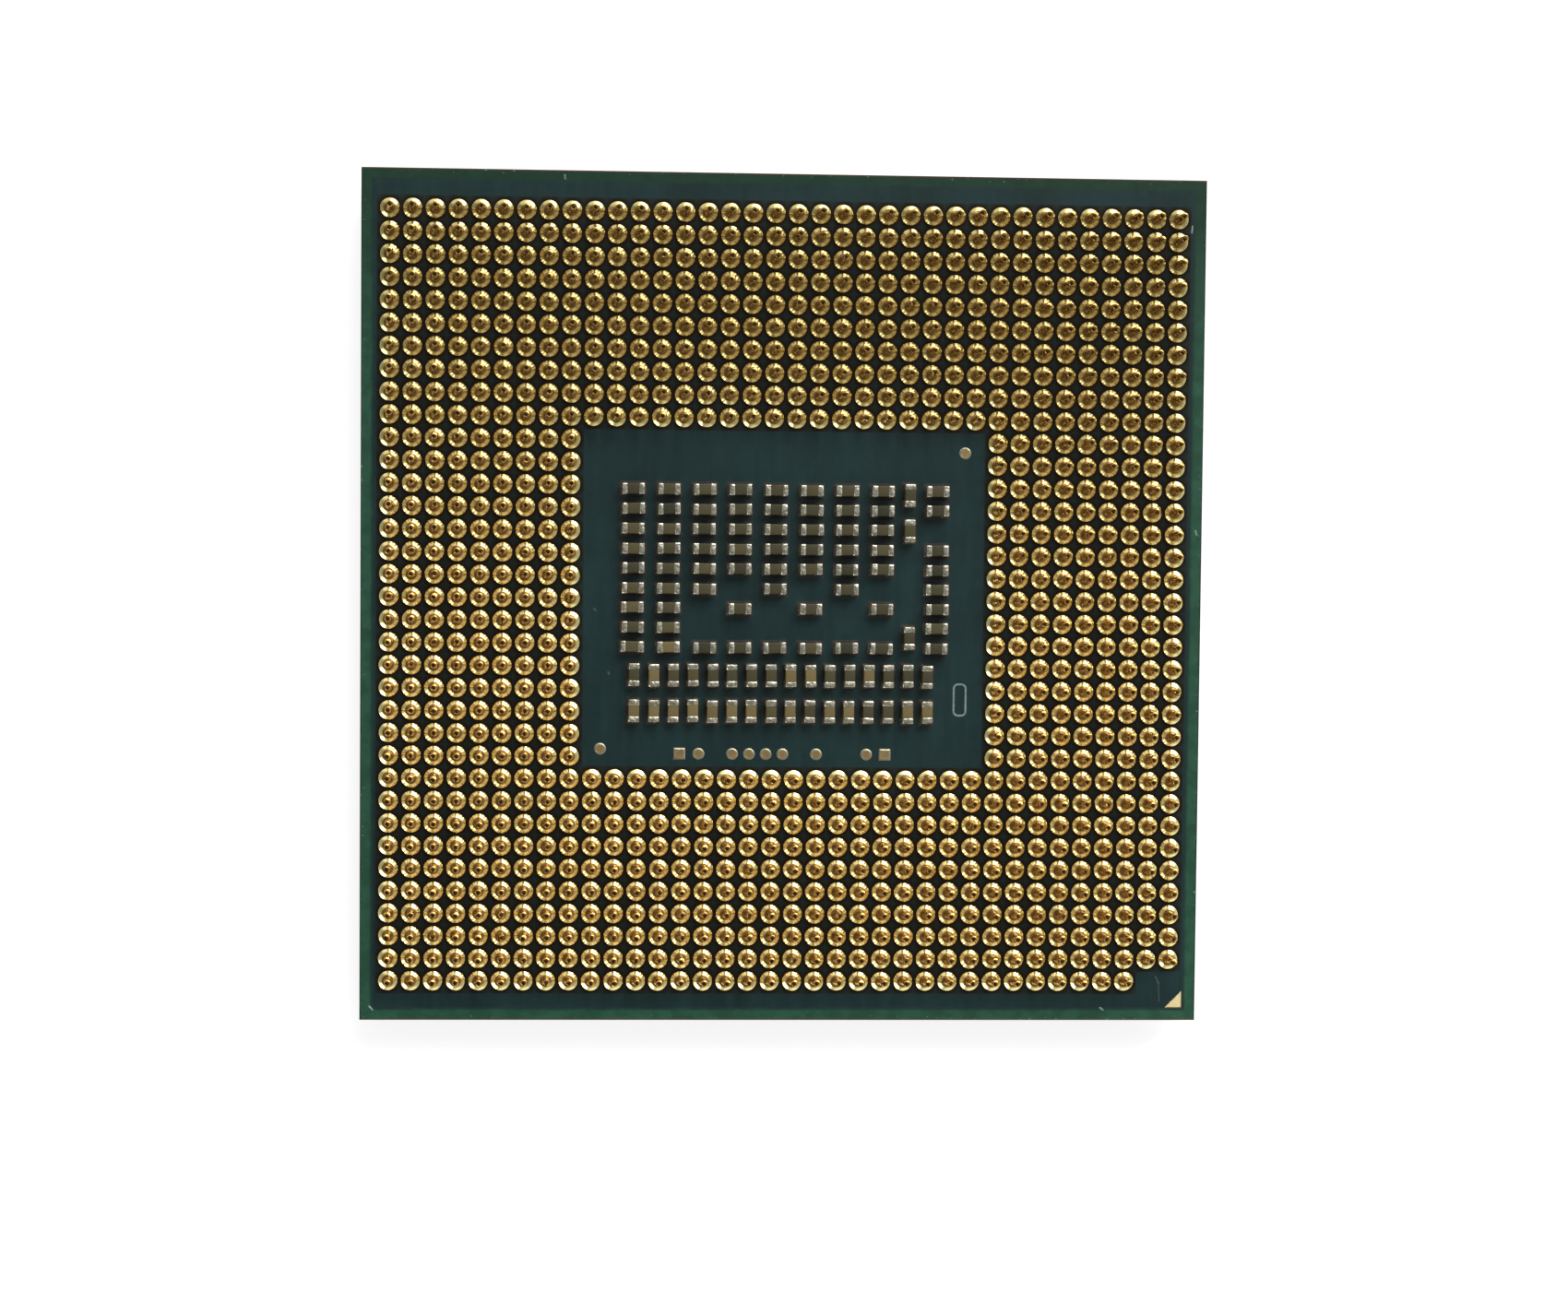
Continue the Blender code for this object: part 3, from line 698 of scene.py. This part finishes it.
def triangle_pad(name, material, facing):
    """The gold triangle at pin 1's corner, with slightly round corners."""
    low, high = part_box(name)
    low, high = np.array(low) / MM, np.array(high) / MM
    middle = (low + high) / 2
    leg = high[0] - low[0]

    def ring_at(inset, z):
        corners = np.array([(leg / 2, -leg / 2), (leg / 2, leg / 2), (-leg / 2, -leg / 2)])
        centre = np.array([leg / 2 - 0.293 * leg, -leg / 2 + 0.293 * leg])
        points = []
        for number, corner in enumerate(corners):
            before, after = corners[number - 1], corners[(number + 1) % 3]
            to_before = (before - corner) / np.linalg.norm(before - corner)
            to_after = (after - corner) / np.linalg.norm(after - corner)
            for share in (0.0, 0.25, 0.5, 0.75, 1.0):
                first, last = corner + to_before * 0.06, corner + to_after * 0.06
                points.append((1 - share) ** 2 * first + 2 * share * (1 - share) * corner
                              + share ** 2 * last)
        flat = centre + (np.array(points) - centre) * (1 - inset / (0.293 * leg))
        return np.column_stack([flat, np.full(len(flat), z)])

    thickness = high[2] - low[2]
    shape = moved(domed(ring_at, 0.02, thickness + 0.008), (middle[0], middle[1], 0))
    vertices = shape[0]
    vertices[:, 2] = low[2] + vertices[:, 2] if facing > 0 else high[2] - vertices[:, 2]
    faces = shape[1] if facing > 0 else [some[:, ::-1] for some in shape[1]]
    piece(name + "_plate", (vertices, faces), material, "gold_plated_pads", name)


def ink_mark(material):
    """A plain printed outline beside the capacitors, standing where the board carries a print."""
    low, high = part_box("capacitors_lower_row")
    x, y = high.x / MM + 1.25, high.y / MM + 0.05
    half_x, half_y, stroke, thickness = 0.31, 0.74, 0.085, 0.006
    rings = []
    for inset, z in ((0, 0), (0.006, thickness), (stroke - 0.006, thickness), (stroke, 0)):
        rings.append(rounded_rectangle(half_x - inset, half_y - inset, 0.24 - inset, z, steps=8))
    piece("printed_mark", moved(loft(rings, closed=True), (x, y, PIN_SIDE)), material, "solder_mask")


# ---------------------------------------------------------------- chip side

def chip(material):
    low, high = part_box("silicon_die")
    half = (high - low) / 2 / MM
    height = (high.z - low.z) / MM
    rings = [rounded_rectangle(half.x - inset, half.y - inset, 0.02, z)
             for inset, z in ((0.018, 0), (0.004, 0.006), (0, 0.02), (0, height))]
    piece("polished_die", loft(rings), material, "silicon", "silicon_die", sharp=25)


def underfill_ring(material):
    """Resin round the chip: a hollow slope from a wavy edge on the board up the chip's sides."""
    die_low, die_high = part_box("silicon_die")
    low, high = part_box("underfill_fillet")
    half_die = (die_high - die_low) / 2 / MM
    half_foot = (high - low) / 2 / MM
    bottom, top = low.z / MM, high.z / MM
    reach = half_foot.x - half_die.x

    def ring_at(out, z, waviness=0.0):
        ring = rounded_rectangle(half_die.x + out, half_die.y + out, 0.02 + out * 0.9, z, steps=12)
        # long straight sides need points of their own to carry the wavy edge
        full = []
        for first, second in zip(ring, np.roll(ring, -1, axis=0)):
            steps = max(1, int(np.linalg.norm(second - first) > 2) * 40)
            full += [first + (second - first) * step / steps for step in range(steps)]
        full = np.array(full)
        turn = np.arctan2(full[:, 1], full[:, 0])
        waves = ((5, 0.4), (9, 2.1), (16, 4.0))
        wave = sum(np.cos(turn * count + phase) / count for count, phase in waves)
        full[:, :2] *= (1 + waviness * wave / 40)[:, None]
        return full

    rings = [ring_at(0.005, top), ring_at(reach * 0.97, top, 1.0)]
    for step in range(1, 11):
        share = step / 10
        out = 0.03 + (reach * 0.97 - 0.03) * (1 - share) ** 1.9
        rings.append(ring_at(out, top - (top - bottom) * share ** 1.25, 1.0 - share))
    rings.append(ring_at(0.005, bottom + 0.004))
    vertices, faces = loft(rings, closed=True)
    piece("underfill_slope", (vertices, [some[:, ::-1] for some in faces]), material, "underfill_resin",
          "underfill_fillet")


# ---------------------------------------------------------------- kept solids

def dress(name, material, rounding=0.0):
    """Gives a solid of the frame its looks, with its edges eased by rounding millimetres."""
    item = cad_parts[name]
    item.data.materials.clear()
    item.data.materials.append(material)
    if rounding:
        ease = item.modifiers.new("eased_edges", "BEVEL")
        ease.width = rounding * MM
        ease.segments = 2
        ease.limit_method = "ANGLE"


# ---------------------------------------------------------------- surroundings

def facing(azimuth, elevation):
    """The direction at those angles in degrees. Azimuth 0 is +X and 90 is +Y."""
    a, e = math.radians(azimuth), math.radians(elevation)
    return Vector((math.cos(a) * math.cos(e), math.sin(a) * math.cos(e), math.sin(e)))


def soft_light(name, azimuth, elevation, spread, strength):
    """A far round light as wide as spread degrees, so that the floor is lit evenly."""
    lamp = bpy.data.lights.new(name, "SUN")
    lamp.angle, lamp.energy = math.radians(spread), strength
    item = bpy.data.objects.new(name, lamp)
    bpy.context.scene.collection.objects.link(item)
    item.location = facing(azimuth, elevation) * 0.3
    item.rotation_mode = "QUATERNION"
    item.rotation_quaternion = facing(azimuth, elevation).to_track_quat("Z", "Y")


def sky(level, horizon, patches):
    """Even light from all round, stronger towards the horizon, and stronger or weaker in patches,
    each given as its azimuth, elevation, half its spread and the light it adds."""
    world = bpy.data.worlds.new("studio")
    world.use_nodes = True
    tree = world.node_tree
    direction = node(tree, "TexCoord").outputs["Generated"]
    upward = node(tree, "SeparateXYZ", {0: direction}).outputs["Z"]
    light = between(tree, upward, 0.02, 0.32, horizon, level)
    for azimuth, elevation, spread, added in patches:
        toward = facing(azimuth, elevation)
        closeness = vector_math(tree, "DOT_PRODUCT", direction, toward)
        edges = [math.cos(math.radians(spread * share)) for share in (1.25, 0.6)]
        light = calculate(tree, "ADD", light, between(tree, closeness, *edges, 0.0, added))
    colour = node(tree, "CombineColor", {0: light, 1: light, 2: light}).outputs[0]
    tree.links.new(colour, tree.nodes["Background"].inputs["Color"])
    bpy.context.scene.world = world


def floor(material):
    """A wide round slab just under the chip."""
    ring = circle(FLOOR_RADIUS, 0.0, FLOOR_SIDES)
    below = (0, 0, FLOOR_THICKNESS)
    vertices = np.concatenate([ring, ring - below, [(0, 0, 0)], [(0, 0, -FLOOR_THICKNESS)]])
    mesh = bpy.data.meshes.new("floor")
    sides = [(i, (i + 1) % FLOOR_SIDES) for i in range(FLOOR_SIDES)]
    faces = [(i, after, 2 * FLOOR_SIDES) for i, after in sides]
    faces += [(FLOOR_SIDES + after, FLOOR_SIDES + i, 2 * FLOOR_SIDES + 1) for i, after in sides]
    faces += [(FLOOR_SIDES + i, FLOOR_SIDES + after, after, i) for i, after in sides]
    mesh.from_pydata((vertices * MM).tolist(), [], faces)
    mesh.materials.append(material)
    item = bpy.data.objects.new("floor", mesh)
    item.location.z = -0.00002
    bpy.context.scene.collection.objects.link(item)


def camera():
    """The viewpoint: almost straight above the pins, a little to the left of the middle."""
    data = bpy.data.cameras.new("camera")
    data.sensor_width = 36.0
    data.lens = 74.7
    data.shift_x, data.shift_y = 0.094, 0.129
    data.clip_start, data.clip_end = 0.005, 20.0
    item = bpy.data.objects.new("camera", data)
    item.location = Vector((-15.5, -3.7, 144.2 + PIN_SIDE)) * MM
    item.rotation_euler = [math.radians(angle) for angle in (-2.94, -3.56, 0.39)]
    bpy.context.scene.collection.objects.link(item)
    bpy.context.scene.camera = item


# ---------------------------------------------------------------- assembly

pin_gold = pin_gold_with_painted_shade("pin_gold", (0.95, 0.84, 0.38), (0.75, 0.60, 0.20), (0.23, 0.108, 0.022))
pad_gold = gold("pad_gold", (0.52, 0.49, 0.34), (0.34, 0.28, 0.16), matte=0.30,
                middle=(0.50, 0.33, 0.135))
triangle_gold = gold("triangle_gold", (0.90, 0.79, 0.45), (0.80, 0.64, 0.30), matte=0.50)
# dark laminate colours for the painted shade round the capacitors
bare_laminate = resin("bare_laminate", (0.017, 0.012, 0.008), (0.006, 0.005, 0.004))
terminal_tin = tin("terminal_tin", (0.70, 0.68, 0.56), (0.26, 0.245, 0.18), 0.30)
capacitor_body = ceramic("capacitor_body", (0.185, 0.140, 0.055), (0.026, 0.027, 0.014))

for name in list(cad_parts):
    if name.startswith("pins_"):
        pin_block(name, pin_gold)
    elif name.startswith("capacitor"):
        capacitor_group(name, capacitor_body, terminal_tin, bare_laminate)
    elif "test_pad" in name or "fiducial" in name:
        pad(name, pad_gold)
triangle_pad("pin_one_triangle", triangle_gold, 1)
triangle_pad("pin_one_triangle_die_side", triangle_gold, -1)
ink_mark(ink("printed_ink"))
chip(silicon("chip_back"))
underfill_ring(underfill("underfill"))

dress("solder_mask_pin_side", solder_mask("mask_pin_side", True), 0.008)
dress("solder_mask_die_side", solder_mask("mask_die_side", False), 0.008)
dress("glass_fibre_core", resin("core_edge", (0.150, 0.140, 0.070), (0.075, 0.078, 0.040)), 0.02)
build_up = resin("build_up_edge", (0.060, 0.085, 0.045), (0.025, 0.045, 0.028))
plane_copper = copper("plane_copper")
for side in ("pin_side", "die_side"):
    dress("build_up_layer_" + side, build_up, 0.01)
    dress("copper_plane_" + side, plane_copper)
    dress("core_copper_" + side, plane_copper)
dress("solder_bump_layer", tin("bump_solder", (0.62, 0.62, 0.60), (0.40, 0.40, 0.40), 0.35))

floor(table_top("pale_floor"))
sky(level=0.44, horizon=0.95, patches=(
    (222, 66, 32, -0.30), (20, 77, 18, -0.10), (145, 20, 40, -0.12), (290, 10, 25, 0.50),
    (105, 20, 26, 0.70)))
soft_light("upper_right_light", 62, 31, 54, 3.7)
soft_light("lower_left_light", 225, 21, 38, 1.35)
camera()
bpy.context.scene.view_settings.view_transform = "Standard"
